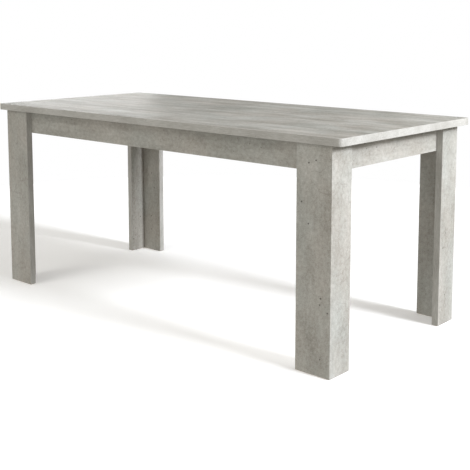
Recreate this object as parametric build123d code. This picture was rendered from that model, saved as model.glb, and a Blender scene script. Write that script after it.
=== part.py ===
from build123d import *
import os

# Extendable dining table with a divided top, L-shaped panel legs and a stored leaf.
#
# The two halves of the top slide apart on wooden runners. A loose leaf, kept on ledges
# inside the frame, fills the opening. The origin is on the floor under the table's centre,
# +X is along the table, +Y is towards its back and +Z is up.

# ---- Driving dimensions, in millimetres ----------------------------------------------

table_height = 760
top_length = 1760
top_width = 800
board = 25                    # thickness of the top, the leaf and the leg panels
corner_radius = 12            # plan radius of the top's four corners
edging = 1                    # plastic edge band on the boards
edging_round = 0.7            # rounding of the band's outer edges
seam_gap = 0.4                # gap between the closed halves

end_overhang = 40             # top past the legs at the two short ends
side_overhang = 12            # top past the legs at the two long sides
leg_length = 135              # wide leg panel, along the table
leg_width = 105               # narrow leg panel, across the table
slide_gap = 1.5               # felt thickness between frame and sliding top
floor_glide = 2               # height of the plastic glides under the legs
floor_glide_radius = 9
glide_place = 0.7             # share of a leg panel's length from the leg's corner

apron_thickness = 18
apron_height = 88
half_travel = 200             # each half of the top slides this far

beam_width = 30               # fixed guide beam that carries the runners
beam_height = 40
beam_drop = 2                 # beam's top below the frame's top
beam_y = 300                  # beam's centre line from the table's centre
groove_depth = 8
groove_height = 8.6
runner_width = 20
runner_height = 42
runner_gap = 1                # runner to beam, side by side
runner_overlap = 250          # runner past the seam, under the other half
runner_relief = 1             # that stretch stays clear of the other half
runner_end_gap = 12           # runner to short apron when the table is open
tongue_depth = 7
tongue_height = 8

ledge_x = 300
ledge_width = 30
ledge_height = 18
ledge_rise = 2.5              # ledge's underside above the apron's lower edge
leaf_felt = 2

latch_y = 150
latch_reach = 60              # pivot to catch pin
latch_width = 18
latch_thickness = 3
latch_tip = 12
latch_bore_gap = 0.05
latch_clear = 2.5             # lever's top below the top's underside
tab_place = 0.55              # thumb tab, as a share of the lever's reach
tab_half_width = 9
tab_drop = 10
shoulder_play = 0.5           # lever to pivot shoulder

dowel_radius = 4
dowel_depth = 15
dowel_places = (-330, -110, 110, 330)
fit_gap = 0.1                 # radial gap round dowels, screws and pins
past = 1                      # cutters run this far past the faces that they open
hex_width = 0.45              # hexagon socket, as shares of the screw head's radius and height
hex_depth = 0.6

# ---- Derived places ------------------------------------------------------------------

half_x = top_length / 2
half_y = top_width / 2
under_top = table_height - board
frame_top = under_top - slide_gap
apron_bottom = frame_top - apron_height
leg_x = half_x - end_overhang
leg_y = half_y - side_overhang
apron_x = leg_x - board
apron_y = leg_y - board
inner_x = apron_x - apron_thickness
inner_y = apron_y - apron_thickness

beam_top = frame_top - beam_drop
beam_bottom = beam_top - beam_height
groove_z = (beam_top + beam_bottom) / 2
beam_outer = beam_y + beam_width / 2
beam_inner = beam_y - beam_width / 2

runner_bottom = under_top - runner_height
runner_end = inner_x - half_travel - runner_end_gap
lane_outer = beam_outer + runner_gap
lane_inner = beam_inner - runner_gap

ledge_bottom = apron_bottom + ledge_rise
ledge_top = ledge_bottom + ledge_height
leaf_bottom = ledge_top + leaf_felt
leaf_width = 2 * half_travel - seam_gap

latch_top = under_top - latch_clear
latch_bottom = latch_top - latch_thickness
pivot_x = -latch_reach / 2
catch_x = latch_reach / 2

SIDES = {"front": -1, "back": 1}
ENDS = {"left": -1, "right": 1}
UP = (0, 0, 1)
DOWN = (0, 0, -1)
CORNER = (Align.MIN, Align.MIN, Align.MIN)
ON_BASE = (Align.CENTER, Align.CENTER, Align.MIN)


# ---- Helpers -------------------------------------------------------------------------

def block(x_pair, y_pair, z_pair):
    """Box between two places on each axis, given in either order."""
    low = [min(pair) for pair in (x_pair, y_pair, z_pair)]
    size = [abs(pair[1] - pair[0]) for pair in (x_pair, y_pair, z_pair)]
    return Pos(*low) * Box(*size, align=CORNER)


def rod(radius, start, direction, length):
    """Cylinder that begins at a point and runs along a direction."""
    place = Plane(origin=start, z_dir=direction)
    return place * Cylinder(radius, length, align=ON_BASE)


def prism(points, z_pair):
    """Upright prism over an outline given by its corner points."""
    outline = Polyline(*points, close=True)
    return Pos(0, 0, z_pair[0]) * extrude(make_face(outline), z_pair[1] - z_pair[0], dir=UP)


def long_profile(points, x_pair):
    """Bar along X whose cross-section is given by (y, z) corner points."""
    outline = Polyline(*[(x_pair[0], y, z) for y, z in points], close=True)
    return extrude(make_face(outline), x_pair[1] - x_pair[0], dir=(1, 0, 0))


def cap_screw(start, direction, shank_radius, shank_length, head_radius, head_height):
    """Socket screw: the head sits before the start point and the shank runs past it."""
    place = Plane(origin=start, z_dir=direction)
    shank = Cylinder(shank_radius, shank_length, align=ON_BASE)
    head = Pos(0, 0, -head_height) * Cylinder(head_radius, head_height, align=ON_BASE)
    socket = extrude(RegularPolygon(head_radius * hex_width, 6), head_height * hex_depth)
    return place * (shank + head - Pos(0, 0, -head_height) * socket)


def save(name, *solids):
    """Write one node, either a single solid or a group of separate ones."""
    shape = solids[0] if len(solids) == 1 else Compound(list(solids))
    export_step(shape, f"parts/{name}.step")


# ---- Fastener places, worked out once and used for holes and for fasteners -------------

bolt_radius = 3
bolt_head_radius = 5.25
bolt_head_height = 3.3
bolt_bite = 11                # bolt past the apron, in the leg's insert
bolt_grip = apron_thickness + bolt_bite
insert_radius = 5
insert_length = 13
face_bolt_inset = 30          # bolts from the free edges of the leg panels
side_bolt_inset = 17
face_bolt_rises = (17, 67)    # bolts above the aprons' lower edge
side_bolt_rises = (13, 35)
face_bolt_x = leg_x - leg_length + face_bolt_inset
side_bolt_y = leg_y - leg_width + side_bolt_inset


def leg_bolt_places(end, side):
    """Start points, on the aprons' inner faces, and directions of one leg's four bolts."""
    face_places = [(end * face_bolt_x, side * inner_y, apron_bottom + rise) for rise in face_bolt_rises]
    side_places = [(end * inner_x, side * side_bolt_y, apron_bottom + rise) for rise in side_bolt_rises]
    towards_face = [(place, (0, side, 0)) for place in face_places]
    towards_side = [(place, (end, 0, 0)) for place in side_places]
    return towards_face + towards_side


def step_along(start, direction, distance):
    """Point a distance away from a start point."""
    return tuple(place + distance * part for place, part in zip(start, direction))


def bolt_hole(start, direction):
    """Clearance hole through the apron and on past the insert."""
    return rod(bolt_radius + fit_gap, step_along(start, direction, -past), direction, bolt_grip + 2 * past)


def insert_hole(start, direction):
    """Blind hole for the threaded insert in the leg panel."""
    return rod(insert_radius + fit_gap, step_along(start, direction, apron_thickness), direction, insert_length)


# ---- Legs ----------------------------------------------------------------------------

def make_leg(end_name, side_name):
    """Two panels, mitred at the outer corner, that make an L open towards the inside."""
    end = ENDS[end_name]
    side = SIDES[side_name]
    height = (floor_glide, frame_top)
    face_panel = prism([(end * leg_x, side * leg_y),
                        (end * (leg_x - leg_length), side * leg_y),
                        (end * (leg_x - leg_length), side * apron_y),
                        (end * apron_x, side * apron_y)], height)
    side_panel = prism([(end * leg_x, side * leg_y),
                        (end * apron_x, side * apron_y),
                        (end * apron_x, side * (leg_y - leg_width)),
                        (end * leg_x, side * (leg_y - leg_width))], height)
    for start, direction in leg_bolt_places(end, side):
        hole = insert_hole(start, direction)
        face_panel -= hole
        side_panel -= hole
    save(f"leg_{side_name}_{end_name}_face_panel", face_panel)
    save(f"leg_{side_name}_{end_name}_side_panel", side_panel)


def make_leg_fasteners():
    """Bolts through the aprons and the threaded inserts that they turn into."""
    bolts = []
    inserts = []
    for end in ENDS.values():
        for side in SIDES.values():
            for start, direction in leg_bolt_places(end, side):
                bolts.append(cap_screw(start, direction, bolt_radius, bolt_grip,
                                       bolt_head_radius, bolt_head_height))
                mouth = step_along(start, direction, apron_thickness)
                sleeve = rod(insert_radius, mouth, direction, insert_length)
                thread = rod(bolt_radius + fit_gap, mouth, direction, insert_length)
                inserts.append(sleeve - thread)
    save("leg_bolts", *bolts)
    save("leg_threaded_inserts", *inserts)


def make_floor_glides():
    """Two plastic discs under every leg, one below each panel."""
    discs = []
    for end in ENDS.values():
        for side in SIDES.values():
            under_face = (end * (leg_x - leg_length * glide_place), side * (leg_y - board / 2), 0)
            under_side = (end * (leg_x - board / 2), side * (leg_y - leg_width * glide_place), 0)
            discs.append(rod(floor_glide_radius, under_face, UP, floor_glide))
            discs.append(rod(floor_glide_radius, under_side, UP, floor_glide))
    save("floor_glides", *discs)


# ---- Aprons and corner blocks ----------------------------------------------------------

bracket_leg = 20              # steel angle that holds a leaf ledge to a long apron
bracket_width = 20
bracket_sheet = 2
bracket_screw_radius = 1.75
bracket_head_radius = 3.2
bracket_screw_length = 13
bracket_screw_inset = 12
bracket_head_height = 1.6

block_leg = 35                # corner block, along each apron
block_rise = 4                # block above the aprons' lower edge
block_height = 32
block_low = apron_bottom + block_rise
block_screw_inset = 12        # screws from the aprons' inner faces
block_seat_inset = 14         # heads from the apron that the screw enters
block_screw_rises = (9, 23)
block_screw_radius = 2
block_head_radius = 4
block_head_height = 3
block_screw_length = 26
driver_reach = 20             # counterbore that lets a screwdriver in


def block_screw_places(end, side):
    """Seats of the two screw heads inside one corner block."""
    near_x = end * (inner_x - block_screw_inset)
    near_y = side * (inner_y - block_screw_inset)
    seat_x = end * (inner_x - block_seat_inset)
    seat_y = side * (inner_y - block_seat_inset)
    low_rise, high_rise = block_screw_rises
    return [((near_x, seat_y, block_low + low_rise), (0, side, 0)),
            ((seat_x, near_y, block_low + high_rise), (end, 0, 0))]


def block_screw_hole(start, direction):
    """Shank hole with a counterbore that opens towards the inside of the frame."""
    shank = rod(block_screw_radius + fit_gap, start, direction, block_screw_length)
    mouth = step_along(start, direction, -driver_reach)
    return shank + rod(block_head_radius + fit_gap, mouth, direction, driver_reach)


def make_corner_blocks():
    """Triangular glue blocks in the frame's inner corners, with two screws each."""
    screws = []
    for end_name, end in ENDS.items():
        for side_name, side in SIDES.items():
            glue_block = prism([(end * inner_x, side * inner_y),
                                (end * (inner_x - block_leg), side * inner_y),
                                (end * inner_x, side * (inner_y - block_leg))],
                               (block_low, block_low + block_height))
            for start, direction in block_screw_places(end, side):
                glue_block -= block_screw_hole(start, direction)
                screws.append(cap_screw(start, direction, block_screw_radius, block_screw_length,
                                        block_head_radius, block_head_height))
            save(f"corner_block_{side_name}_{end_name}", glue_block)
    save("corner_block_screws", *screws)


beam_dowel_length = 40
beam_dowel_in_apron = 12
beam_dowel_rise = 11          # dowels above and below the beam's groove line


def beam_dowel_places(end, side):
    """Where the two dowels of one beam end start, inside the side apron."""
    start_x = end * (inner_x + beam_dowel_in_apron)
    return [(start_x, side * beam_y, groove_z + rise) for rise in (-beam_dowel_rise, beam_dowel_rise)]


def bracket_screw_places(end, side):
    """Starts and directions of one angle's screws, down into the ledge and out into the apron."""
    wall = side * inner_y
    down_start = (end * ledge_x, wall - side * bracket_screw_inset, ledge_top + bracket_sheet)
    side_start = (end * ledge_x, wall - side * bracket_sheet, ledge_top + bracket_screw_inset)
    return [(down_start, DOWN), (side_start, (0, side, 0))]


def bracket_screw_hole(start, direction):
    """Hole for one screw of an angle."""
    return rod(bracket_screw_radius + fit_gap, start, direction, bracket_screw_length)


def cut_frame_holes(apron):
    """Cut every bolt, screw and dowel hole that crosses an apron."""
    for end in ENDS.values():
        for side in SIDES.values():
            for start, direction in leg_bolt_places(end, side):
                apron -= bolt_hole(start, direction)
            for start, direction in block_screw_places(end, side):
                apron -= block_screw_hole(start, direction)
            for start, direction in bracket_screw_places(end, side):
                apron -= bracket_screw_hole(start, direction)
            for start in beam_dowel_places(end, side):
                apron -= rod(dowel_radius + fit_gap, start, (-end, 0, 0), beam_dowel_length)
    return apron


def make_aprons():
    """Long aprons between the side panels, short aprons between the long ones."""
    height = (apron_bottom, frame_top)
    for side_name, side in SIDES.items():
        apron = block((-apron_x, apron_x), (side * inner_y, side * apron_y), height)
        save(f"{side_name}_apron", cut_frame_holes(apron))
    for end_name, end in ENDS.items():
        apron = block((end * inner_x, end * apron_x), (-inner_y, inner_y), height)
        save(f"{end_name}_apron", cut_frame_holes(apron))


felt_width = 12


def make_felt_strips():
    """Felt on the aprons' upper edges, which the two halves slide on."""
    height = (frame_top, under_top)
    middle = apron_thickness / 2
    strips = []
    for side in SIDES.values():
        line = side * (inner_y + middle)
        strips.append(block((-inner_x, inner_x), (line - felt_width / 2, line + felt_width / 2), height))
    for end in ENDS.values():
        line = end * (inner_x + middle)
        strips.append(block((line - felt_width / 2, line + felt_width / 2), (-inner_y, inner_y), height))
    save("felt_glide_strips", *strips)


# ---- Fixed guide beams -----------------------------------------------------------------

peg_radius = 3
peg_from_end = 6
peg_inset = 4.5


def make_guide_beams():
    """Beams between the short aprons, grooved on both faces, with stop pegs and dowels."""
    pegs = []
    dowels = []
    height = (beam_bottom, beam_top)
    groove = (groove_z - groove_height / 2, groove_z + groove_height / 2)
    for side_name, side in SIDES.items():
        beam = block((-inner_x, inner_x), (side * beam_inner, side * beam_outer), height)
        beam -= block((-inner_x, inner_x), (side * (beam_outer - groove_depth), side * beam_outer), groove)
        beam -= block((-inner_x, inner_x), (side * beam_inner, side * (beam_inner + groove_depth)), groove)
        outer_peg = (-(inner_x - peg_from_end), side * (beam_outer - peg_inset), beam_bottom)
        inner_peg = (inner_x - peg_from_end, side * (beam_inner + peg_inset), beam_bottom)
        for place in (outer_peg, inner_peg):
            beam -= rod(peg_radius + fit_gap, place, UP, beam_height)
            pegs.append(rod(peg_radius, place, UP, beam_height))
        for end in ENDS.values():
            for start in beam_dowel_places(end, side):
                beam -= rod(dowel_radius + fit_gap, start, (-end, 0, 0), beam_dowel_length)
                dowels.append(rod(dowel_radius, start, (-end, 0, 0), beam_dowel_length))
        save(f"guide_beam_{side_name}", beam)
    save("travel_stop_pegs", *pegs)
    save("guide_beam_dowels", *dowels)


# ---- Ledges for the stored leaf ----------------------------------------------------------

leaf_stop_length = 20
leaf_stop_height = 15
leaf_stop_gap = 3             # stop to the stored leaf's dowels
leaf_stop_y = half_travel + dowel_depth + leaf_stop_gap
pad_place = 0.8               # felt pad, as a share of half the leaf's width
pad_half_width = 12
pad_half_length = 15


def make_leaf_ledges():
    """Two battens across the frame with their brackets, felt pads and leaf stops."""
    brackets = []
    screws = []
    pads = []
    stops = []
    for end_name, end in ENDS.items():
        middle = end * ledge_x
        span = (middle - ledge_width / 2, middle + ledge_width / 2)
        batten = block(span, (-inner_y, inner_y), (ledge_bottom, ledge_top))
        for side in SIDES.values():
            sheet = (middle - bracket_width / 2, middle + bracket_width / 2)
            wall = side * inner_y
            flat = block(sheet, (wall - side * bracket_leg, wall), (ledge_top, ledge_top + bracket_sheet))
            upright = block(sheet, (wall - side * bracket_sheet, wall), (ledge_top, ledge_top + bracket_leg))
            bracket = flat + upright
            for start, direction in bracket_screw_places(end, side):
                hole = bracket_screw_hole(start, direction)
                bracket -= hole
                batten -= hole
                screws.append(cap_screw(start, direction, bracket_screw_radius, bracket_screw_length,
                                        bracket_head_radius, bracket_head_height))
            brackets.append(bracket)
            pad_y = side * half_travel * pad_place
            pads.append(block((middle - pad_half_width, middle + pad_half_width),
                              (pad_y - pad_half_length, pad_y + pad_half_length), (ledge_top, leaf_bottom)))
            stop_y = side * leaf_stop_y
            stops.append(block(span, (stop_y, stop_y + side * leaf_stop_length),
                               (ledge_top, ledge_top + leaf_stop_height)))
        save(f"leaf_ledge_{end_name}", batten)
    save("ledge_brackets", *brackets)
    save("ledge_bracket_screws", *screws)
    save("leaf_felt_pads", *pads)
    save("leaf_stop_blocks", *stops)


# ---- Boards and their edge bands -----------------------------------------------------------

def banded_board(x_pair, y_pair, bottom, rounded_corners):
    """Board and the closed band round its edges, with chosen upright corners rounded."""
    height = (bottom, bottom + board)
    outer = block(x_pair, y_pair, height)
    inner = block((x_pair[0] + edging, x_pair[1] - edging), (y_pair[0] + edging, y_pair[1] - edging), height)
    if rounded_corners:
        outer = fillet(outer.edges().filter_by(Axis.Z).sort_by(Axis.X)[rounded_corners], corner_radius)
        inner = fillet(inner.edges().filter_by(Axis.Z).sort_by(Axis.X)[rounded_corners],
                       corner_radius - edging)
    rim = outer.faces().sort_by(Axis.Z)[-1].edges() + outer.faces().sort_by(Axis.Z)[0].edges()
    outer = fillet(rim, edging_round)
    return inner, outer - inner


screw_radius = 2
screw_head_radius = 4
screw_head_height = 3
screw_recess = 12
screw_bite = 14
screws_per_runner = 5
first_runner_screw = 40       # nearest the seam
last_runner_screw = runner_end - 30
latch_screw_length = 14
plate_sheet = 2
plate_from_seam = 12
plate_to_seam = 48
plate_half_width = 14
plate_screw_inset = 4
plate_screw_spread = 10
plate_screw_radius = 1.6
plate_head_radius = 3.2
plate_head_height = 1.8
pin_past = 1                  # pin's shank below the lever
pin_radius = 3
pin_head_radius = 4.5
pin_head_height = 1.5
pivot_radius = 3
pivot_head_radius = 6
pivot_head_height = 2.5
slot_half_width = 4.5
slot_floor = 4


def runner_screw_places(lane, side, end):
    """Seats of the screws that hold one runner under its half of the top."""
    spacing = (last_runner_screw - first_runner_screw) / (screws_per_runner - 1)
    seat = runner_bottom + screw_recess + screw_head_height
    places = [first_runner_screw + count * spacing for count in range(screws_per_runner)]
    return [(end * place, side * lane, seat) for place in places]


def make_runner(end, side, face, thickness):
    """Runner whose tongue enters the guide beam's groove; face is its side at the beam."""
    away = face + thickness
    tongue = face - (tongue_depth + runner_gap if thickness > 0 else -(tongue_depth + runner_gap))
    low = groove_z - tongue_height / 2
    high = groove_z + tongue_height / 2
    points = [(face, runner_bottom), (away, runner_bottom), (away, under_top), (face, under_top),
              (face, high), (tongue, high), (tongue, low), (face, low)]
    points = [(side * y, z) for y, z in points]
    runner = long_profile(points, (-runner_end, runner_overlap))
    relief = block((0, runner_overlap), (-half_y, half_y), (under_top - runner_relief, under_top))
    runner -= relief
    return runner if end < 0 else mirror(runner, about=Plane.YZ)


def pin_plate_screw_places(side):
    """Seats of a catch plate's two screws, flush with the plate."""
    seat = under_top - plate_sheet + plate_head_height
    return [(plate_from_seam + plate_screw_inset, side * latch_y + plate_screw_spread, seat),
            (plate_to_seam - plate_screw_inset, side * latch_y - plate_screw_spread, seat)]


def make_top_half(end_name):
    """One half of the top with its band, two runners and their screws."""
    end = ENDS[end_name]
    x_pair = (-half_x, -seam_gap / 2) if end < 0 else (seam_gap / 2, half_x)
    rounded = slice(0, 2) if end < 0 else slice(2, 4)
    panel, band = banded_board(x_pair, (-half_y, half_y), under_top, rounded)
    seam = end * seam_gap / 2
    middle = under_top + board / 2
    for y in dowel_places:
        mouth = (seam - end * past, y, middle)
        socket = rod(dowel_radius + fit_gap, mouth, (end, 0, 0), dowel_depth + 2 * past)
        panel -= socket
        band -= socket
    screws = []
    face = lane_outer if end < 0 else lane_inner
    thickness = runner_width if end < 0 else -runner_width
    for side_name, side in SIDES.items():
        runner = make_runner(end, side, face, thickness)
        for start in runner_screw_places(face + thickness / 2, side, end):
            hole = rod(screw_radius + fit_gap, start, UP, runner_height - screw_recess + screw_bite)
            counterbore = rod(screw_head_radius + fit_gap, (start[0], start[1], runner_bottom), UP,
                              screw_recess + screw_head_height)
            runner -= hole + counterbore
            shank = under_top - start[2] + screw_bite - past
            panel -= rod(screw_radius + fit_gap, start, UP, shank + past)
            screws.append(cap_screw(start, UP, screw_radius, shank, screw_head_radius, screw_head_height))
        save(f"runner_{end_name}_{side_name}", runner)
    for side in SIDES.values():
        if end < 0:
            pivot = (pivot_x, side * latch_y, under_top)
            panel -= rod(screw_radius + fit_gap, pivot, UP, latch_screw_length + past)
        else:
            for start in pin_plate_screw_places(side):
                panel -= rod(plate_screw_radius + fit_gap, start, UP, latch_screw_length + past)
    save(f"top_board_{end_name}", panel)
    save(f"top_edging_{end_name}", band)
    save(f"runner_screws_{end_name}", *screws)


def make_seam_dowels():
    """Dowels fixed in the right half that slide into the left half's sockets."""
    middle = under_top + board / 2
    start_x = seam_gap / 2 + dowel_depth
    length = 2 * dowel_depth
    save("seam_dowels", *[rod(dowel_radius, (start_x, y, middle), (-1, 0, 0), length) for y in dowel_places])


# ---- Catches that lock the closed halves -----------------------------------------------

def make_latches():
    """Swinging hook levers under the left half and pin plates under the right half."""
    pivots = []
    plates = []
    plate_screws = []
    for side_name, side in SIDES.items():
        pivot_y = side * latch_y
        towards = -side
        bar = block((pivot_x - latch_width / 2, pivot_x + latch_width / 2),
                    (pivot_y, pivot_y + towards * (latch_reach + latch_tip)), (latch_bottom, latch_top))
        bar += rod(latch_width / 2, (pivot_x, pivot_y, latch_bottom), UP, latch_thickness)
        slot_y = pivot_y + towards * latch_reach
        bar -= block((pivot_x - slot_floor, pivot_x + latch_width),
                     (slot_y - slot_half_width, slot_y + slot_half_width), (latch_bottom, latch_top))
        tab_y = pivot_y + towards * latch_reach * tab_place
        bar += block((pivot_x - latch_width / 2, pivot_x - latch_width / 2 + latch_thickness),
                     (tab_y - tab_half_width, tab_y + tab_half_width), (latch_bottom - tab_drop, latch_bottom))
        bore_start = (pivot_x, pivot_y, latch_bottom - past)
        bar -= rod(pivot_radius + latch_bore_gap, bore_start, UP, latch_thickness + 2 * past)
        save(f"latch_lever_{side_name}", bar)

        shoulder_low = latch_bottom - shoulder_play
        pivot = rod(pivot_radius, (pivot_x, pivot_y, shoulder_low), UP, under_top - shoulder_low)
        pivot += rod(screw_radius, (pivot_x, pivot_y, under_top), UP, latch_screw_length)
        pivot += rod(pivot_head_radius, (pivot_x, pivot_y, shoulder_low - pivot_head_height), UP,
                     pivot_head_height)
        pivots.append(pivot)

        plate_low = under_top - plate_sheet
        plate = block((plate_from_seam, plate_to_seam),
                      (pivot_y - plate_half_width, pivot_y + plate_half_width), (plate_low, under_top))
        pin_low = latch_bottom - pin_past
        plate += rod(pin_radius, (catch_x, pivot_y, pin_low), UP, plate_low - pin_low)
        plate += rod(pin_head_radius, (catch_x, pivot_y, pin_low - pin_head_height), UP, pin_head_height)
        for start in pin_plate_screw_places(side):
            head_start = (start[0], start[1], plate_low)
            plate -= rod(plate_head_radius + fit_gap, head_start, UP, plate_head_height)
            plate -= rod(plate_screw_radius + fit_gap, start, UP, past)
            plate_screws.append(cap_screw(start, UP, plate_screw_radius, latch_screw_length,
                                          plate_head_radius, plate_head_height))
        plates.append(plate)
    save("latch_pivot_screws", *pivots)
    save("latch_pin_plates", *plates)
    save("latch_plate_screws", *plate_screws)


# ---- Loose leaf, stored lengthwise -------------------------------------------------------

def make_leaf():
    """Leaf with its band, dowels on one long edge and sockets in the other."""
    panel, band = banded_board((-half_y, half_y), (-leaf_width / 2, leaf_width / 2), leaf_bottom, None)
    middle = leaf_bottom + board / 2
    edge = leaf_width / 2
    dowels = []
    for x in dowel_places:
        for side in SIDES.values():
            mouth = (x, side * (edge + past), middle)
            socket = rod(dowel_radius + fit_gap, mouth, (0, -side, 0), dowel_depth + 2 * past)
            panel -= socket
            band -= socket
        dowels.append(rod(dowel_radius, (x, edge - dowel_depth, middle), (0, 1, 0), 2 * dowel_depth))
    save("leaf_board", panel)
    save("leaf_edging", band)
    save("leaf_dowels", *dowels)


def main():
    """Build every node."""
    os.makedirs("parts", exist_ok=True)
    for end_name in ENDS:
        for side_name in SIDES:
            make_leg(end_name, side_name)
    make_leg_fasteners()
    make_floor_glides()
    make_corner_blocks()
    make_aprons()
    make_felt_strips()
    make_guide_beams()
    make_leaf_ledges()
    for end_name in ENDS:
        make_top_half(end_name)
    make_seam_dowels()
    make_latches()
    make_leaf()


main()
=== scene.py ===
"""Looks of the extendable dining table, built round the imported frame.

The boards and dowels are rebuilt here with eased edges, edge bands, raw ends and flutes. The
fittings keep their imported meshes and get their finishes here. Lengths are metres in the frame's
own axes.
"""
import math

import bmesh
import bpy
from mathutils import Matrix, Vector


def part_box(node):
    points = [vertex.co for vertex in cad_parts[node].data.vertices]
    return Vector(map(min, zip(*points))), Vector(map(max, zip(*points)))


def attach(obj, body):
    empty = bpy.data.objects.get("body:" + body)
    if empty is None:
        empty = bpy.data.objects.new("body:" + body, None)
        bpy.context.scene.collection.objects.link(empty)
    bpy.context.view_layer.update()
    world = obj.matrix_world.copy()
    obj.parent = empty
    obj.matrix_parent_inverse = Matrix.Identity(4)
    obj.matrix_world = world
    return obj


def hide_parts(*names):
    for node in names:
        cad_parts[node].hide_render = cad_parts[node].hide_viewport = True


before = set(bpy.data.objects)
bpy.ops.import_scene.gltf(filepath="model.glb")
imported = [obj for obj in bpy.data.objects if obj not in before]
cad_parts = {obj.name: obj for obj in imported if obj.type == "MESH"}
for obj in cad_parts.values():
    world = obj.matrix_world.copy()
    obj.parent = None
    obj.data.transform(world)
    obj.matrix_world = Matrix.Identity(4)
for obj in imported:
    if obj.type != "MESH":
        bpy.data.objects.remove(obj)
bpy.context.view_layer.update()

MM = 0.001
ALONG_X, ALONG_Y, ALONG_Z = 0, 1, 2
ARRIS = 0.8 * MM              # rounding of the banded outer edges
EASED = 0.5 * MM              # rounding of the panels' other edges
FOOT_EASED = 0.4 * MM         # rounding round the bottom of the legs
FINE_LINE = 0.12 * MM         # chamfer that shows where a face meets its band
BAND = 1.0 * MM               # thickness of the plastic band
CORNER = 12 * MM              # plan radius of the top's corners
SEAM_CORNER = 0.3 * MM        # plan radius of the corners at the seam
SQUARE = 0.05 * MM            # plan radius of a corner that is square to the eye
ARC_STEPS = 8                 # straight pieces in a corner's quarter turn
SMALL_ARC_STEPS = 2
SMALL_RADIUS = 2 * MM         # corners up to this radius get the small number of steps
SOCKET_SIDES = 32
SHARP_ANGLE = math.radians(50)
SAME_PLACE = 0.01 * MM        # two heights or points this close count as one
STRAIGHT = 0.9                # share of a normal along an axis for a face that looks that way
LEANING = 0.3                 # the same for a face that at least leans that way


# ---- Shader helpers --------------------------------------------------------------------

class Shader:
    """A material's node tree with short calls to add and join nodes."""

    def __init__(self, name):
        self.material = bpy.data.materials.new(name)
        self.material.use_nodes = True
        self.tree = self.material.node_tree
        self.surface = self.tree.nodes["Principled BSDF"]

    def add(self, kind, inputs=None, **settings):
        """New node with settings, and inputs given as constants or as sockets to join."""
        made = self.tree.nodes.new(kind)
        for key, value in settings.items():
            setattr(made, key, value)
        for key, value in (inputs or {}).items():
            self.feed(made.inputs[key], value)
        return made

    def feed(self, socket, value):
        """Join an output socket to an input, or set the input's constant."""
        if isinstance(value, bpy.types.NodeSocket):
            self.tree.links.new(value, socket)
        else:
            socket.default_value = value

    def place(self, scale=(1, 1, 1), shift=(0, 0, 0)):
        """The piece's own coordinates, scaled on each axis and moved."""
        source = self.add("ShaderNodeTexCoord")
        mapping = self.add("ShaderNodeMapping", {"Vector": source.outputs["Object"],
                                                 "Location": shift, "Scale": scale})
        return mapping.outputs["Vector"]

    def noise(self, vector, scale, detail=4.0, roughness=0.55, distortion=0.0):
        """Soft noise, about 0 to 1."""
        made = self.add("ShaderNodeTexNoise", {"Vector": vector, "Scale": scale, "Detail": detail,
                                               "Roughness": roughness, "Distortion": distortion})
        return made.outputs["Fac"]

    def math(self, operation, first, second=0.0):
        """One arithmetic step."""
        made = self.add("ShaderNodeMath", operation=operation)
        self.feed(made.inputs[0], first)
        self.feed(made.inputs[1], second)
        return made.outputs[0]

    def span(self, value, low, high, to_low=0.0, to_high=1.0):
        """Value carried from one range to another, and held at its ends."""
        made = self.add("ShaderNodeMapRange", {"Value": value, "From Min": low, "From Max": high,
                                               "To Min": to_low, "To Max": to_high})
        return made.outputs["Result"]

    def ramp(self, value, stops):
        """Colour from a value through (place, colour) stops."""
        made = self.add("ShaderNodeValToRGB", {"Fac": value})
        ramp = made.color_ramp
        while len(ramp.elements) < len(stops):
            ramp.elements.new(0.5)
        for element, (place, colour) in zip(ramp.elements, stops):
            element.position = place
            element.color = (*colour, 1.0)
        return made.outputs["Color"]

    def mix(self, factor, first, second, blend="MIX"):
        """Two colours mixed by a factor."""
        made = self.add("ShaderNodeMix", data_type="RGBA", blend_type=blend)
        self.feed(made.inputs["Factor"], factor)
        self.feed(made.inputs["A"], first if not isinstance(first, tuple) else (*first, 1.0))
        self.feed(made.inputs["B"], second if not isinstance(second, tuple) else (*second, 1.0))
        return made.outputs["Result"]

    def bump(self, height, strength, distance):
        """Surface relief from a height."""
        made = self.add("ShaderNodeBump", {"Height": height, "Strength": strength,
                                           "Distance": distance})
        self.feed(self.surface.inputs["Normal"], made.outputs["Normal"])

    def finish(self, colour, roughness, metallic=0.0, specular=0.5):
        """Join colour and roughness to the surface."""
        self.feed(self.surface.inputs["Base Color"], colour)
        self.feed(self.surface.inputs["Roughness"], roughness)
        self.surface.inputs["Metallic"].default_value = metallic
        self.surface.inputs["Specular IOR Level"].default_value = specular
        return self.material


def stretched(grain, along, across=1.0):
    """Scale that draws a pattern out along the grain axis."""
    scale = [across, across, across]
    scale[grain] = along
    return tuple(scale)


# ---- Materials -----------------------------------------------------------------------

DECOR_TONES = [(0.20, (0.200, 0.191, 0.168)), (0.42, (0.310, 0.302, 0.275)),
               (0.58, (0.390, 0.384, 0.358)), (0.82, (0.510, 0.506, 0.482))]
BAND_TONES = [(0.36, (0.255, 0.246, 0.222)), (0.53, (0.395, 0.388, 0.362)),
              (0.68, (0.515, 0.510, 0.486))]
BAND_HOLE_INSIDE = (0.10, 0.095, 0.085)
BAND_RUBBED_EDGE = (0.60, 0.59, 0.565)
WARM_TINT = (1.035, 0.99, 0.955)
COOL_TINT = (0.975, 1.005, 1.0)
DARK_SPECK = (0.14, 0.128, 0.11)
PALE_SPECK = (0.66, 0.65, 0.63)
HAIRLINE = (0.17, 0.157, 0.135)
HOLE_INSIDE = (0.07, 0.064, 0.056)
RUBBED_EDGE = (0.62, 0.61, 0.585)

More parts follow.
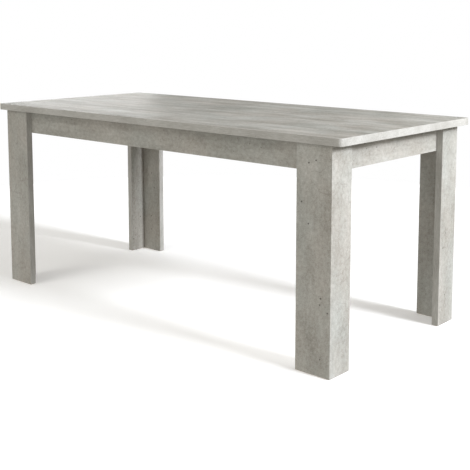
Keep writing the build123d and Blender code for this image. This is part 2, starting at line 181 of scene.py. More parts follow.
HOLES_PER_METRE = 40.0
HOLE_SHARE = 0.28             # share of the places that have a hole when pits is 1
HOLE_SIZES = (0.035, 0.125)   # smallest and largest radius, in spacings
HOLE_SOFTNESS = 0.02
SPECKS_PER_METRE = 190.0
DARK_SHARE = 0.28
PALE_SHARE = 0.16
CRACKS_PER_METRE = 17.0
CRACK_WIDTH = 0.024
CRACK_WANDER = 0.06
BAND_HOLES_PER_METRE = 60.0
BAND_HOLE_SHARE = 0.14
BAND_HOLE_SIZE = 0.09


def scattered(s, shift, per_metre):
    """Distance to the nearest of many scattered points, with two random values of that point."""
    cells = s.add("ShaderNodeTexVoronoi", {"Vector": s.place(shift=shift), "Scale": per_metre},
                  feature="F1")
    values = s.add("ShaderNodeSeparateColor", {"Color": cells.outputs["Color"]})
    return cells.outputs["Distance"], values.outputs["Red"], values.outputs["Green"]


def air_holes(s, shift, pits):
    """Small round holes of several sizes; pits sets how many there are."""
    distance, chance, choice = scattered(s, shift, HOLES_PER_METRE)
    present = s.math("GREATER_THAN", chance, 1.0 - HOLE_SHARE * pits)
    size = s.span(choice, 0.0, 1.0, *HOLE_SIZES)
    hole = s.span(s.math("SUBTRACT", distance, size), 0.0, HOLE_SOFTNESS, 1.0, 0.0)
    return s.math("MULTIPLY", hole, present)


def specks(s, shift):
    """Dark specks and pale specks, as two masks."""
    distance, chance, _ = scattered(s, shift, SPECKS_PER_METRE)
    dark = s.math("MULTIPLY", s.span(distance, 0.14, 0.24, 1.0, 0.0),
                  s.math("GREATER_THAN", chance, 1.0 - DARK_SHARE))
    pale = s.math("MULTIPLY", s.span(distance, 0.10, 0.24, 1.0, 0.0),
                  s.math("LESS_THAN", chance, PALE_SHARE))
    return dark, pale


def hairlines(s, shift):
    """Thin wandering cracks that show only in patches."""
    warp = s.add("ShaderNodeTexNoise", {"Vector": s.place(shift=shift), "Scale": 14.0, "Detail": 3.0})
    bent = s.add("ShaderNodeMix", data_type="VECTOR")
    s.feed(bent.inputs["Factor"], CRACK_WANDER)
    s.feed(bent.inputs["A"], s.place(shift=shift))
    s.feed(bent.inputs["B"], warp.outputs["Color"])
    cracks = s.add("ShaderNodeTexVoronoi",
                   {"Vector": bent.outputs["Result"], "Scale": CRACKS_PER_METRE},
                   feature="DISTANCE_TO_EDGE")
    line = s.span(cracks.outputs["Distance"], 0.0, CRACK_WIDTH, 1.0, 0.0)
    patches = s.span(s.noise(s.place(shift=shift), 5.5, 2.0), 0.50, 0.60)
    return s.math("MULTIPLY", line, patches)


def concrete_decor(name, grain, shift, streaks=0.5, pits=1.0, shine=0.0, lift=0.0):
    """Printed concrete decor: clouds, drawn-out streaks, specks, air holes and hairlines."""
    s = Shader(name)
    clouds = s.noise(s.place(stretched(grain, 0.5), shift), 9.0, 6.0, 0.62)
    broad = s.noise(s.place(stretched(grain, 0.16), shift), 21.0, 4.0, 0.6, 0.4)
    lines = s.noise(s.place(stretched(grain, 0.04), shift), 110.0, 4.0, 0.65, 0.2)
    mottle = s.noise(s.place(stretched(grain, 0.8), shift), 95.0, 4.0, 0.7)
    grit = s.noise(s.place(shift=shift), 420.0, 3.0, 0.7)
    tone = s.math("MULTIPLY_ADD", clouds, 0.62)
    tone.node.inputs[2].default_value = 0.19 + lift
    weights = ((broad, 0.65 * streaks + 0.06), (lines, 0.42 * streaks), (mottle, 0.62), (grit, 0.75))
    for layer, weight in weights:
        centred = s.math("SUBTRACT", layer, 0.5)
        tone = s.math("ADD", tone, s.math("MULTIPLY", centred, weight))
    colour = s.ramp(tone, DECOR_TONES)
    hue = s.span(s.noise(s.place(stretched(grain, 0.6), shift), 6.5, 4.0, 0.6), 0.38, 0.62)
    colour = s.mix(0.6, colour, s.mix(hue, WARM_TINT, COOL_TINT), "MULTIPLY")

    hole = air_holes(s, shift, pits)
    dark, pale = specks(s, shift)
    marks = ((dark, 0.34, DARK_SPECK), (pale, 0.30, PALE_SPECK),
             (hairlines(s, shift), 0.42, HAIRLINE), (hole, 0.85, HOLE_INSIDE))
    for mask, strength, tint in marks:
        colour = s.mix(s.math("MULTIPLY", mask, strength), colour, tint)
    worn = s.add("ShaderNodeAttribute", attribute_name="arris").outputs["Fac"]
    rubbed = s.span(s.noise(s.place(shift=shift), 60.0, 3.0), 0.42, 0.62)
    rubbed = s.math("MULTIPLY", worn, s.math("MULTIPLY", rubbed, 0.5))
    colour = s.mix(rubbed, colour, RUBBED_EDGE)

    coarse = s.math("ADD", grit, s.math("MULTIPLY", lines, 0.5))
    roughness = s.span(coarse, 0.5, 1.0, 0.44 - shine, 0.60 - shine)
    relief = s.math("ADD", s.math("MULTIPLY", grit, 0.35), s.math("MULTIPLY", lines, 0.3 * streaks))
    relief = s.math("SUBTRACT", relief, s.math("MULTIPLY", hole, 1.2))
    s.bump(relief, 0.35, 0.25 * MM)
    return s.finish(colour, roughness, specular=0.4)


def edge_band(name, grain, shift):
    """Plastic band printed like the decor, with fine streaks along its length."""
    s = Shader(name)
    clouds = s.noise(s.place(stretched(grain, 0.5), shift), 14.0, 5.0, 0.6)
    lines = s.noise(s.place(stretched(grain, 0.12), shift), 300.0, 4.0, 0.65)
    grit = s.noise(s.place(shift=shift), 420.0, 3.0, 0.7)
    tone = s.math("MULTIPLY", clouds, 0.35)
    for layer, weight in ((lines, 0.4), (grit, 0.35)):
        tone = s.math("ADD", tone, s.math("MULTIPLY", layer, weight))
    colour = s.ramp(tone, BAND_TONES)
    distance, chance, _ = scattered(s, shift, BAND_HOLES_PER_METRE)
    hole = s.math("MULTIPLY", s.math("LESS_THAN", distance, BAND_HOLE_SIZE),
                  s.math("GREATER_THAN", chance, 1.0 - BAND_HOLE_SHARE))
    colour = s.mix(s.math("MULTIPLY", hole, 0.6), colour, BAND_HOLE_INSIDE)
    worn = s.add("ShaderNodeAttribute", attribute_name="arris").outputs["Fac"]
    colour = s.mix(s.math("MULTIPLY", worn, 0.25), colour, BAND_RUBBED_EDGE)
    roughness = s.span(grit, 0.3, 0.7, 0.42, 0.56)
    s.bump(grit, 0.3, 0.15 * MM)
    return s.finish(colour, roughness, specular=0.4)


def backing_foil(name):
    """Pale paper foil that balances the boards' undersides."""
    s = Shader(name)
    fibres = s.noise(s.place((1.0, 0.3, 1.0)), 240.0, 4.0, 0.65)
    blotch = s.noise(s.place(), 9.0, 3.0, 0.5)
    tone = s.math("ADD", s.math("MULTIPLY", fibres, 0.4), s.math("MULTIPLY", blotch, 0.6))
    colour = s.ramp(tone, [(0.3, (0.56, 0.545, 0.51)), (0.7, (0.68, 0.67, 0.635))])
    s.bump(fibres, 0.2, 0.1 * MM)
    return s.finish(colour, s.span(fibres, 0.3, 0.7, 0.52, 0.68), specular=0.35)


def chipboard(name):
    """Raw board core with flakes of several browns."""
    s = Shader(name)
    flakes = s.add("ShaderNodeTexVoronoi", {"Vector": s.place((0.45, 0.45, 1.0)), "Scale": 420.0},
                   feature="F1")
    pick = s.add("ShaderNodeSeparateColor", {"Color": flakes.outputs["Color"]})
    colour = s.ramp(pick.outputs["Red"], [(0.0, (0.22, 0.13, 0.065)), (0.35, (0.40, 0.27, 0.15)),
                                          (0.7, (0.52, 0.38, 0.23)), (1.0, (0.63, 0.49, 0.32))])
    grit = s.noise(s.place(), 900.0, 3.0)
    s.bump(s.math("ADD", flakes.outputs["Distance"], grit), 0.5, 0.3 * MM)
    return s.finish(colour, s.span(grit, 0.3, 0.7, 0.75, 0.92), specular=0.25)


def planed_wood(name, grain, light, dark, rings=24.0):
    """Planed solid wood: growth bands, fibres and short dark flecks along the grain."""
    s = Shader(name)
    sway = s.noise(s.place(stretched(grain, 0.12)), rings, 3.0, 0.5, 0.6)
    bands = s.math("FRACT", s.math("MULTIPLY", sway, 6.0))
    bands = s.math("ABSOLUTE", s.math("SUBTRACT", bands, 0.5))
    fibres = s.noise(s.place(stretched(grain, 0.03)), 520.0, 4.0, 0.7)
    flecks = s.noise(s.place(stretched(grain, 0.09)), 700.0, 2.0, 0.5)
    fleck = s.span(flecks, 0.60, 0.68)
    tone = s.math("ADD", s.math("MULTIPLY", bands, 1.0), s.math("MULTIPLY", fibres, 0.6))
    colour = s.mix(s.span(tone, 0.2, 0.9), dark, light)
    colour = s.mix(s.math("MULTIPLY", fleck, 0.35), colour, tuple(0.55 * part for part in dark))
    relief = s.math("SUBTRACT", fibres, s.math("MULTIPLY", fleck, 0.6))
    s.bump(relief, 0.35, 0.2 * MM)
    return s.finish(colour, s.span(fibres, 0.3, 0.7, 0.42, 0.62), specular=0.4)


def plated_steel(name, light, dark, rough_low, rough_high, drawn=0.15):
    """Plated steel with faint drawing lines, blotches and dulled patches."""
    s = Shader(name)
    lines = s.noise(s.place((drawn, 1.0, 1.0)), 900.0, 3.0, 0.6)
    blotch = s.noise(s.place(), 160.0, 4.0, 0.6)
    tone = s.math("ADD", s.math("MULTIPLY", lines, 0.5), s.math("MULTIPLY", blotch, 0.5))
    colour = s.mix(s.span(tone, 0.35, 0.65), dark, light)
    s.bump(lines, 0.15, 0.05 * MM)
    return s.finish(colour, s.span(blotch, 0.35, 0.65, rough_low, rough_high), metallic=1.0)


def pressed_felt(name, light, dark):
    """Matted fibres with a rough, uneven surface."""
    s = Shader(name)
    fibres = s.noise(s.place(), 1400.0, 5.0, 0.75, 1.2)
    lumps = s.noise(s.place(), 300.0, 3.0, 0.6)
    colour = s.mix(s.span(fibres, 0.35, 0.65), dark, light)
    s.bump(s.math("ADD", fibres, lumps), 0.9, 0.4 * MM)
    return s.finish(colour, s.span(lumps, 0.3, 0.7, 0.88, 1.0), specular=0.15)


def moulded_plastic(name, light, dark):
    """Moulded plastic with a fine spark-eroded grain."""
    s = Shader(name)
    grain = s.noise(s.place(), 1100.0, 3.0, 0.5)
    cloud = s.noise(s.place(), 120.0, 2.0)
    colour = s.mix(s.span(cloud, 0.35, 0.65), dark, light)
    s.bump(grain, 0.3, 0.08 * MM)
    return s.finish(colour, s.span(grain, 0.3, 0.7, 0.42, 0.56), specular=0.45)


# ---- Mesh helpers --------------------------------------------------------------------

def arc(centre, radius, start, stop, steps=ARC_STEPS):
    """Points round part of a circle; angles are in degrees."""
    points = []
    for step in range(steps + 1):
        angle = math.radians(start + (stop - start) * step / steps)
        points.append((centre[0] + radius * math.cos(angle), centre[1] + radius * math.sin(angle)))
    return points


def rounded_rectangle(low, high, radii):
    """Outline whose corner radii run from the low corner round anticlockwise."""
    corners = [(low[0], low[1], 1, 1, 180), (high[0], low[1], -1, 1, 270),
               (high[0], high[1], -1, -1, 0), (low[0], high[1], 1, -1, 90)]
    points = []
    for (x, y, in_x, in_y, start), radius in zip(corners, radii):
        steps = ARC_STEPS if radius > SMALL_RADIUS else SMALL_ARC_STEPS
        points += arc((x + in_x * radius, y + in_y * radius), radius, start, start + 90, steps)
    return points


def new_piece(name, bm, materials):
    """Object made from a bmesh, with its materials in slot order."""
    bmesh.ops.recalc_face_normals(bm, faces=bm.faces[:])
    mesh = bpy.data.meshes.new(name)
    bm.to_mesh(mesh)
    bm.free()
    for material in materials:
        mesh.materials.append(material)
    piece = bpy.data.objects.new(name, mesh)
    bpy.context.scene.collection.objects.link(piece)
    return piece


def shade(piece):
    """Shade curves smoothly while the flat faces keep their own direction."""
    mesh = piece.data
    for face in mesh.polygons:
        face.use_smooth = True
    mesh.set_sharp_from_angle(angle=SHARP_ANGLE)
    weighted = piece.modifiers.new("weighted", "WEIGHTED_NORMAL")
    weighted.keep_sharp = True


def prism(outline, low, high):
    """Closed bmesh over an outline, standing between two heights."""
    bm = bmesh.new()
    bottom = [bm.verts.new((x, y, low)) for x, y in outline]
    top = [bm.verts.new((x, y, high)) for x, y in outline]
    bm.faces.new(bottom)
    bm.faces.new(top)
    count = len(outline)
    for index in range(count):
        following = (index + 1) % count
        bm.faces.new((bottom[index], bottom[following], top[following], top[index]))
    return bm


def ring(outer, inner, low, high):
    """Closed bmesh between two outlines that have the same number of points."""
    bm = bmesh.new()
    loops = []
    for outline in (outer, inner):
        for z in (low, high):
            loops.append([bm.verts.new((x, y, z)) for x, y in outline])
    outer_low, outer_high, inner_low, inner_high = loops
    count = len(outer)
    for index in range(count):
        following = (index + 1) % count
        for first, second in ((outer_low, outer_high), (outer_high, inner_high),
                              (inner_high, inner_low), (inner_low, outer_low)):
            bm.faces.new((first[index], first[following], second[following], second[index]))
    return bm


def ease(bm, wanted, width, segments):
    """Round the wanted edges and mark the new faces as worn arrises."""
    arris = bm.loops.layers.float.get("arris") or bm.loops.layers.float.new("arris")
    edges = [edge for edge in bm.edges if wanted(edge)]
    made = bmesh.ops.bevel(bm, geom=edges, offset=width, segments=segments, profile=0.5,
                           affect="EDGES", clamp_overlap=True)
    for face in made["faces"]:
        for loop in face.loops:
            loop[arris] = 1.0


def at_height(edge, height):
    """True for an edge that lies at a height."""
    return all(abs(vert.co.z - height) < SAME_PLACE for vert in edge.verts)


def paint(bm, choose):
    """Give every face the material slot that its centre and outward direction call for."""
    bmesh.ops.recalc_face_normals(bm, faces=bm.faces[:])
    for face in bm.faces:
        face.material_index = choose(face.calc_center_median(), face.normal)


def drill(piece, starts, direction, radius, depth):
    """Cut round blind holes into a piece."""
    bm = bmesh.new()
    for start in starts:
        middle = Vector(start) + Vector(direction) * depth / 2
        turn = Vector(direction).to_track_quat("Z", "Y").to_matrix().to_4x4()
        turn.translation = middle
        bmesh.ops.create_cone(bm, cap_ends=True, segments=SOCKET_SIDES, radius1=radius,
                              radius2=radius, depth=depth, matrix=turn)
    cutter = new_piece("socket_cutter", bm, [])
    cut = piece.modifiers.new("sockets", "BOOLEAN")
    cut.object = cutter
    cut.operation = "DIFFERENCE"
    cut.solver = "EXACT"
    bpy.context.view_layer.update()
    evaluated = piece.evaluated_get(bpy.context.evaluated_depsgraph_get())
    drilled = bpy.data.meshes.new_from_object(evaluated)
    piece.modifiers.clear()
    piece.data = drilled
    bpy.data.objects.remove(cutter)
    shade(piece)


def set_down(piece, body, slot, *nodes):
    """Join a finished piece to its body and hide the nodes it stands for; slot is not used."""
    shade(piece)
    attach(piece, body)
    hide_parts(*nodes)


# ---- Legs, aprons, top and leaf -----------------------------------------------------------

def panel_outline(length, thickness):
    """One mitred leg panel in plan: distance along the panel, then depth from its outer face."""
    on_mitre = ARRIS * (1 - math.cos(math.radians(45)))
    points = [(thickness, thickness), (on_mitre, on_mitre)]
    points += arc((ARRIS, ARRIS), ARRIS, 240, 270, 2)
    points += arc((length - EASED, EASED), EASED, 270, 360, 3)
    points += arc((length - EASED, thickness - EASED), EASED, 0, 90, 3)
    return points


def make_leg(end_name, side_name, decor, band, raw):
    """Two panels of one leg; their foil wraps the outer corner and a band closes the free edge."""
    low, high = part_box(f"leg_{side_name}_{end_name}_face_panel")
    end = 1 if end_name == "right" else -1
    side = 1 if side_name == "back" else -1
    corner_x = max(abs(low.x), abs(high.x))
    corner_y = max(abs(low.y), abs(high.y))
    thickness = high.y - low.y
    for kind in ("face", "side"):
        node = f"leg_{side_name}_{end_name}_{kind}_panel"
        low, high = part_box(node)
        length = high.x - low.x if kind == "face" else high.y - low.y
        outline = []
        for along, deep in panel_outline(length, thickness):
            x, y = (along, deep) if kind == "face" else (deep, along)
            outline.append((end * (corner_x - x), side * (corner_y - y)))
        bm = prism(outline, low.z, high.z)
        ease(bm, lambda edge: at_height(edge, low.z), FOOT_EASED, 2)
        free_edge = length - EASED * 1.01   # the band covers all beyond this, its roundings too

        def choose(centre, normal):
            along = corner_x - abs(centre.x) if kind == "face" else corner_y - abs(centre.y)
            if abs(normal.z) > STRAIGHT:
                return 2
            return 1 if along > free_edge else 0

        paint(bm, choose)
        piece = new_piece(node.replace("panel", "board"), bm, [decor, band, raw])
        set_down(piece, "frame", "concrete_decor_leg", node)


def make_apron(name, decor, band, raw):
    """One apron board with eased long edges and a band along its lower edge."""
    low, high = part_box(name)
    bm = prism(rounded_rectangle(low, high, (SQUARE,) * 4), low.z, high.z)
    ease(bm, lambda edge: at_height(edge, low.z) or at_height(edge, high.z), EASED, 3)
    lengthwise = ALONG_X if high.x - low.x > high.y - low.y else ALONG_Y

    def choose(centre, normal):
        if abs(normal[lengthwise]) > STRAIGHT:
            return 2
        return 1 if abs(normal.z) > LEANING else 0

    paint(bm, choose)
    piece = new_piece(f"{name}_board", bm, [decor, band, raw])
    set_down(piece, "frame", "concrete_decor_apron", name)


def make_board(node, piece_name, body, corner_radii, face, back, raw):
    """Flat board: decor face up, balancing foil below, a fine chamfer where it meets its band."""
    low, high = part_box(node)
    bm = prism(rounded_rectangle(low, high, corner_radii), low.z, high.z)
    ease(bm, lambda edge: at_height(edge, low.z) or at_height(edge, high.z), FINE_LINE, 1)

    def choose(centre, normal):
        if normal.z > LEANING:
            return 0
        return 1 if normal.z < -LEANING else 2

    paint(bm, choose)
    piece = new_piece(piece_name, bm, [face, back, raw])
    set_down(piece, body, "concrete_decor_top", node)
    return piece


def make_band(node, piece_name, body, corner_radii, material):
    """Plastic band round a board, with rounded upper and lower edges."""
    low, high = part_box(node)
    inset = Vector((BAND, BAND, 0))
    inner_radii = [max(radius - BAND, SQUARE) for radius in corner_radii]
    outer = rounded_rectangle(low, high, corner_radii)
    inner = rounded_rectangle(low + inset, high - inset, inner_radii)
    if len(outer) != len(inner):
        raise ValueError("band outlines differ in their number of points")
    bm = ring(outer, inner, low.z, high.z)
    bm.verts.index_update()
    outer_verts = 2 * len(outer)

    def outer_rim(edge):
        rim = at_height(edge, low.z) or at_height(edge, high.z)
        return rim and all(vert.index < outer_verts for vert in edge.verts)

    ease(bm, outer_rim, ARRIS, 3)
    piece = new_piece(piece_name, bm, [material])
    set_down(piece, body, "edge_band", node)
    return piece


DOWELS = 4
DOWEL_RADIUS = 4 * MM
DOWEL_CHAMFER = 0.8 * MM
FLUTES = 12
FLUTE_DEPTH = 0.3 * MM
POINTS_PER_FLUTE = 4
RUN_IN = 1 * MM               # how far outside a face its sockets' cutters start
SOCKET_CUT = 17 * MM          # run-in and depth of a dowel socket together
SOCKET_CLEARANCE = 0.1 * MM
SOCKET_RADIUS = DOWEL_RADIUS + SOCKET_CLEARANCE


def dowel_line(node, lengthwise):
    """Centres of a node's evenly spaced dowels."""
    low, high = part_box(node)
    middle = (low + high) / 2
    across = ALONG_Y if lengthwise == ALONG_X else ALONG_X
    first = low[across] + DOWEL_RADIUS
    last = high[across] - DOWEL_RADIUS
    centres = []
    for index in range(DOWELS):
        centre = middle.copy()
        centre[across] = first + (last - first) * index / (DOWELS - 1)
        centres.append(centre)
    return centres


def make_dowels(node, piece_name, body, lengthwise, material):
    """Fluted dowels with chamfered ends."""
    low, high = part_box(node)
    length = high[lengthwise] - low[lengthwise]
    sides = [axis for axis in (ALONG_X, ALONG_Y, ALONG_Z) if axis != lengthwise]
    half = length / 2
    stations = [(-half, DOWEL_CHAMFER), (-half + DOWEL_CHAMFER, 0),
                (half - DOWEL_CHAMFER, 0), (half, DOWEL_CHAMFER)]
    around = FLUTES * POINTS_PER_FLUTE
    bm = bmesh.new()
    for centre in dowel_line(node, lengthwise):
        rings = []
        for offset, narrowing in stations:
            verts = []
            for step in range(around):
                groove = FLUTE_DEPTH if step % POINTS_PER_FLUTE == 0 else 0.0
                radius = DOWEL_RADIUS - narrowing - groove
                angle = 2 * math.pi * step / around
                spot = centre.copy()
                spot[lengthwise] += offset
                spot[sides[0]] += radius * math.cos(angle)
                spot[sides[1]] += radius * math.sin(angle)
                verts.append(bm.verts.new(spot))
            rings.append(verts)
        for first, second in zip(rings, rings[1:]):
            for index in range(len(first)):
                following = (index + 1) % len(first)
                bm.faces.new((first[index], first[following], second[following], second[index]))
        bm.faces.new(rings[0])
        bm.faces.new(rings[-1])
    piece = new_piece(piece_name, bm, [material])
    set_down(piece, body, "dowel_beech", node)


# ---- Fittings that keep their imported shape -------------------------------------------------

def finish_node(name, material, round_edges=0.0):
    """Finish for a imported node, with its sharp edges eased where asked."""
    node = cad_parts[name]
    node.data.materials.clear()
    node.data.materials.append(material)
    if round_edges:
        weld = node.modifiers.new("weld", "WELD")
        weld.merge_threshold = SAME_PLACE
        bevel = node.modifiers.new("eased", "BEVEL")
        bevel.width = round_edges
        bevel.segments = 2
        bevel.limit_method = "ANGLE"
        bevel.angle_limit = SHARP_ANGLE
        bevel.use_clamp_overlap = True


BEECH = ((0.60, 0.42, 0.26), (0.44, 0.28, 0.155))
PINE = ((0.70, 0.53, 0.32), (0.52, 0.34, 0.17))
BLOCK_PINE = ((0.66, 0.49, 0.29), (0.48, 0.31, 0.16))
DOWEL_BEECH = ((0.64, 0.47, 0.30), (0.50, 0.34, 0.20))
PINE_RINGS = 16.0             # growth bands of pine are wider than those of beech
WOOD_EASED = 0.8 * MM
RUNNER_EASED = 0.6 * MM
LEDGE_EASED = 1.0 * MM
STEEL_EASED = 0.3 * MM
GLIDE_EASED = 0.4 * MM


def finish_fittings():
    """Finishes of runners, beams, ledges, fasteners, catches, felt and glides."""
    beech_x = planed_wood("beech_along_x", ALONG_X, *BEECH)
    pine_x = planed_wood("pine_along_x", ALONG_X, *PINE, PINE_RINGS)
    pine_y = planed_wood("pine_along_y", ALONG_Y, *PINE, PINE_RINGS)
    pine_z = planed_wood("pine_along_z", ALONG_Z, *BLOCK_PINE, PINE_RINGS)
    zinc = plated_steel("zinc_plate", (0.62, 0.63, 0.65), (0.44, 0.45, 0.48), 0.28, 0.46)
    bolt_zinc = plated_steel("bright_zinc", (0.70, 0.71, 0.73), (0.52, 0.53, 0.55), 0.20, 0.36, 1.0)
    yellow_zinc = plated_steel("yellow_zinc", (0.66, 0.58, 0.34), (0.50, 0.40, 0.22), 0.26, 0.42, 1.0)
    brass = plated_steel("turned_brass", (0.78, 0.60, 0.28), (0.60, 0.42, 0.17), 0.22, 0.40, 1.0)
    felt = pressed_felt("grey_felt", (0.13, 0.13, 0.135), (0.055, 0.055, 0.06))
    plastic = moulded_plastic("dark_plastic", (0.05, 0.05, 0.052), (0.028, 0.028, 0.03))
    for side in ("front", "back"):
        finish_node(f"guide_beam_{side}", beech_x, WOOD_EASED)
        finish_node(f"latch_lever_{side}", zinc, STEEL_EASED)
        for end in ("left", "right"):
            finish_node(f"runner_{end}_{side}", beech_x, RUNNER_EASED)
            finish_node(f"corner_block_{side}_{end}", pine_z, WOOD_EASED)
    for end in ("left", "right"):
        finish_node(f"leaf_ledge_{end}", pine_y, LEDGE_EASED)
        finish_node(f"runner_screws_{end}", yellow_zinc)
    finish_node("leaf_stop_blocks", pine_x, WOOD_EASED)
    finish_node("guide_beam_dowels", beech_x)
    finish_node("travel_stop_pegs", pine_z)
    finish_node("ledge_brackets", zinc, STEEL_EASED)
    finish_node("latch_pin_plates", zinc)
    finish_node("latch_pivot_screws", bolt_zinc)
    finish_node("leg_bolts", bolt_zinc)
    finish_node("leg_threaded_inserts", brass)
    for name in ("corner_block_screws", "ledge_bracket_screws", "latch_plate_screws"):
        finish_node(name, yellow_zinc)
    for name in ("felt_glide_strips", "leaf_felt_pads"):
        finish_node(name, felt)
    finish_node("floor_glides", plastic, GLIDE_EASED)


# ---- Boards that show ------------------------------------------------------------------

TOP_LOOK = {"streaks": 1.5, "pits": 0.3, "shine": 0.08, "lift": 0.03}
APRON_LOOK = {"streaks": 0.35, "pits": 2.2}
LEG_LOOK = {"streaks": 0.25}
LEG_SHIFT = (0.31, 0.73, 1.1)   # each leg's decor lies this much further along


def make_legs_and_aprons(raw, top_band):
    """Four legs, each with its own part of the decor, and four aprons."""
    leg_band = edge_band("leg_band_decor", ALONG_Z, (0.2, 1.4, 0.8))
    corners = [(end, side) for end in ("left", "right") for side in ("front", "back")]
    for number, (end, side) in enumerate(corners):
        shift = tuple(number * step for step in LEG_SHIFT)
        leg_decor = concrete_decor(f"leg_decor_{side}_{end}", ALONG_Z, shift, **LEG_LOOK)
        make_leg(end, side, leg_decor, leg_band, raw)
    long_decor = concrete_decor("long_apron_decor", ALONG_X, (1.93, 0.37, 0.6), **APRON_LOOK)
    short_decor = concrete_decor("short_apron_decor", ALONG_Y, (0.96, 2.2, 0.1), **APRON_LOOK)
    for name, decor in (("front", long_decor), ("back", long_decor),
                        ("left", short_decor), ("right", short_decor)):
        make_apron(f"{name}_apron", decor, top_band, raw)


def make_top(raw, foil, top_band):
    """The two halves of the top, with sockets in the left one for the right one's dowels."""
    decor = concrete_decor("top_decor", ALONG_X, (0.37, 1.21, 0.0), **TOP_LOOK)
    left_corners = (CORNER, SEAM_CORNER, SEAM_CORNER, CORNER)
    right_corners = (SEAM_CORNER, CORNER, CORNER, SEAM_CORNER)
    for end, corners in (("left", left_corners), ("right", right_corners)):
        inner_corners = [max(radius - BAND, SQUARE) for radius in corners]
        body = f"top_half_{end}"
        board = make_board(f"top_board_{end}", f"top_panel_{end}", body, inner_corners,
                           decor, foil, raw)
        edge = make_band(f"top_edging_{end}", f"top_band_{end}", body, corners, top_band)
        if end == "left":
            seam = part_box("top_edging_left")[1].x
            starts = [Vector((seam + RUN_IN, spot.y, spot.z))
                      for spot in dowel_line("seam_dowels", ALONG_X)]
            for piece in (board, edge):
                drill(piece, starts, (-1, 0, 0), SOCKET_RADIUS, SOCKET_CUT)


def make_leaf(raw, foil, top_band):
    """The stored leaf, with dowel sockets in its front edge."""
    decor = concrete_decor("leaf_decor", ALONG_Y, (2.3, 0.4, 0.7), **TOP_LOOK)
    board = make_board("leaf_board", "leaf_panel", "extension_leaf", (SQUARE,) * 4, decor, foil, raw)
    edge = make_band("leaf_edging", "leaf_band", "extension_leaf", (SEAM_CORNER,) * 4, top_band)
    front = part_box("leaf_edging")[0].y
    starts = [Vector((spot.x, front - RUN_IN, spot.z)) for spot in dowel_line("leaf_dowels", ALONG_Y)]
    for piece in (board, edge):
        drill(piece, starts, (0, 1, 0), SOCKET_RADIUS, SOCKET_CUT)


def make_pegs():
    """The dowels of the right half's seam edge and of the leaf's back edge."""
    seam_wood = planed_wood("dowel_along_x", ALONG_X, *DOWEL_BEECH)
    leaf_wood = planed_wood("dowel_along_y", ALONG_Y, *DOWEL_BEECH)
    make_dowels("seam_dowels", "seam_dowel_pegs", "top_half_right", ALONG_X, seam_wood)
    make_dowels("leaf_dowels", "leaf_dowel_pegs", "extension_leaf", ALONG_Y, leaf_wood)


def make_boards():
    """Legs, aprons, the divided top, the leaf and the dowels."""
    raw = chipboard("board_core")
    foil = backing_foil("backing_foil")
    top_band = edge_band("top_band_decor", ALONG_X, (0.5, 0.9, 0.3))
    make_legs_and_aprons(raw, top_band)
    make_top(raw, foil, top_band)
    make_leaf(raw, foil, top_band)
    make_pegs()


# ---- Studio ----------------------------------------------------------------------------

FLOOR_RADIUS = 2.9
FLOOR_SIDES = 96
FLOOR_DARK = (0.80, 0.80, 0.80)
FLOOR_LIGHT = (0.815, 0.815, 0.815)
FLOOR_GLOW = 0.28             # lifts the floor towards the white behind it
FLOOR_GLOW_COLOUR = (1.0, 0.99, 0.97, 1.0)


def floor_finish():
    """Pale matt floor that is clear when seen from beneath."""
    s = Shader("studio_floor")
    mottle = s.noise(s.place(), 3.0, 2.0)
    colour = s.mix(s.span(mottle, 0.3, 0.7), FLOOR_DARK, FLOOR_LIGHT)
    material = s.finish(colour, 0.9, specular=0.1)
    s.surface.inputs["Emission Color"].default_value = FLOOR_GLOW_COLOUR
    s.surface.inputs["Emission Strength"].default_value = FLOOR_GLOW
    side = s.add("ShaderNodeNewGeometry")
    clear = s.add("ShaderNodeBsdfTransparent")
    both = s.add("ShaderNodeMixShader")
    s.feed(both.inputs[0], side.outputs["Backfacing"])
    s.feed(both.inputs[1], s.surface.outputs["BSDF"])
    s.feed(both.inputs[2], clear.outputs["BSDF"])
    s.feed(s.tree.nodes["Material Output"].inputs["Surface"], both.outputs["Shader"])
    return material


def make_floor():
    """Round floor that takes shadows but throws no light back up at the table."""
    bm = bmesh.new()
    bmesh.ops.create_circle(bm, cap_ends=True, segments=FLOOR_SIDES, radius=FLOOR_RADIUS)
    floor = new_piece("studio_floor", bm, [floor_finish()])
    if floor.data.polygons[0].normal.z < 0:
        floor.data.flip_normals()
    floor.visible_diffuse = False


def point_at(light, direction):
    """Link a light and turn it to shine along a direction."""
    light.rotation_euler = Vector(direction).to_track_quat("-Z", "Y").to_euler()
    bpy.context.scene.collection.objects.link(light)


def far_light(name, azimuth, elevation, strength, spread, colour):
    """Soft light from far away; azimuth is from +X towards +Y, and all angles are in degrees."""
    data = bpy.data.lights.new(name, "SUN")
    data.energy = strength
    data.angle = math.radians(spread)
    data.color = colour
    around, above = math.radians(azimuth), math.radians(elevation)
    level = math.cos(above)
    towards = (math.cos(around) * level, math.sin(around) * level, math.sin(above))
    point_at(bpy.data.objects.new(name, data), [-part for part in towards])


def panel_light(name, place, aim, size, power):
    """Soft rectangular panel aimed at a point and unseen by the camera."""
    data = bpy.data.lights.new(name, "AREA")
    data.shape = "RECTANGLE"
    data.size, data.size_y = size
    data.energy = power
    light = bpy.data.objects.new(name, data)
    light.location = place
    light.visible_camera = False
    point_at(light, Vector(aim) - Vector(place))


AMBIENT = 0.38                         # mean brightness of the surroundings
AMBIENT_LEAN = (-0.10, -0.45, -0.35)   # they are brighter in front and below
AMBIENT_COLOUR = (1.0, 0.965, 0.895, 1.0)
BACKDROP = (1.0, 1.0, 1.0, 1.0)
COOL_LIGHT = (0.95, 0.98, 1.04)
WARM_LIGHT = (1.0, 0.99, 0.96)


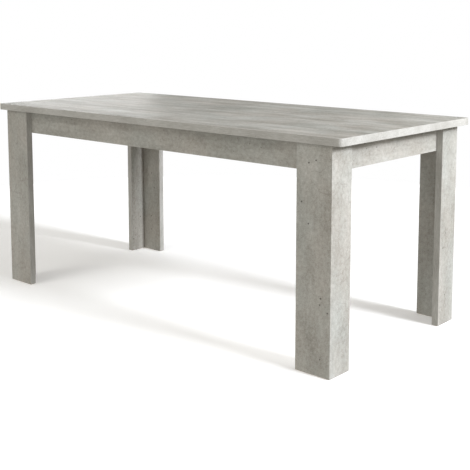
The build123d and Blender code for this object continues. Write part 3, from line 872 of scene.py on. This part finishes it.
def make_surroundings():
    """Leaning ambient light, behind which the camera sees plain white."""
    world = bpy.data.worlds.new("studio")
    bpy.context.scene.world = world
    world.use_nodes = True
    tree = world.node_tree
    lit = tree.nodes["Background"]
    lit.inputs["Color"].default_value = AMBIENT_COLOUR
    direction = tree.nodes.new("ShaderNodeTexCoord")
    lean = tree.nodes.new("ShaderNodeVectorMath")
    lean.operation = "DOT_PRODUCT"
    lean.inputs[1].default_value = AMBIENT_LEAN
    tree.links.new(direction.outputs["Generated"], lean.inputs[0])
    level = tree.nodes.new("ShaderNodeMath")
    level.operation = "MULTIPLY_ADD"
    level.inputs[1].default_value = AMBIENT
    level.inputs[2].default_value = AMBIENT
    tree.links.new(lean.outputs["Value"], level.inputs[0])
    tree.links.new(level.outputs["Value"], lit.inputs["Strength"])
    seen = tree.nodes.new("ShaderNodeBackground")
    seen.inputs["Color"].default_value = BACKDROP
    seen.inputs["Strength"].default_value = 1.0
    path = tree.nodes.new("ShaderNodeLightPath")
    choose = tree.nodes.new("ShaderNodeMixShader")
    tree.links.new(path.outputs["Is Camera Ray"], choose.inputs["Fac"])
    tree.links.new(lit.outputs["Background"], choose.inputs[1])
    tree.links.new(seen.outputs["Background"], choose.inputs[2])
    tree.links.new(choose.outputs["Shader"], tree.nodes["World Output"].inputs["Surface"])


def make_lights():
    """Key from the table's right end, three soft fills, and panels that sheen the top."""
    far_light("key_light", azimuth=4.0, elevation=26.0, strength=3.45, spread=12.0,
              colour=COOL_LIGHT)
    far_light("front_light", azimuth=262.0, elevation=42.0, strength=0.78, spread=28.0,
              colour=WARM_LIGHT)
    far_light("low_fill", azimuth=284.0, elevation=12.0, strength=0.38, spread=24.0,
              colour=WARM_LIGHT)
    far_light("back_fill", azimuth=66.0, elevation=20.0, strength=0.45, spread=30.0,
              colour=WARM_LIGHT)
    panel_light("left_panel", place=(-4.0, 2.5, 1.1), aim=(-0.8, 0.2, 0.76), size=(1.3, 1.2),
                power=17.0)
    panel_light("back_panel", place=(-0.6, 5.2, 1.15), aim=(0.4, 0.0, 0.76), size=(1.6, 1.3),
                power=22.0)
    panel_light("right_panel", place=(2.1, 0.5, 1.65), aim=(0.75, 0.0, 0.76), size=(0.9, 1.2),
                power=24.0)


# ---- Camera ----------------------------------------------------------------------------

CAMERA_PLACE = (2.4124, -2.5921, 1.1046)
CAMERA_TURN = 41.70           # degrees from +Y towards -X
CAMERA_TILT = 6.96            # degrees below the horizon
CAMERA_LENS = 69.4            # millimetres
SENSOR_WIDTH = 36.0           # millimetres
CAMERA_SHIFT = -0.219         # in sensor widths


def make_camera():
    """View from beyond the front right leg, with upright edges kept nearly upright."""
    data = bpy.data.cameras.new("view")
    data.sensor_width = SENSOR_WIDTH
    data.lens = CAMERA_LENS
    data.shift_y = CAMERA_SHIFT
    camera = bpy.data.objects.new("view", data)
    turn, tilt = math.radians(CAMERA_TURN), math.radians(CAMERA_TILT)
    level = math.cos(tilt)
    forward = Vector((-math.sin(turn) * level, math.cos(turn) * level, -math.sin(tilt)))
    camera.location = CAMERA_PLACE
    camera.rotation_euler = forward.to_track_quat("-Z", "Y").to_euler()
    bpy.context.scene.collection.objects.link(camera)
    bpy.context.scene.camera = camera


make_camera()
make_surroundings()
make_lights()
make_floor()
make_boards()
finish_fittings()
bpy.context.scene.view_settings.view_transform = "Standard"
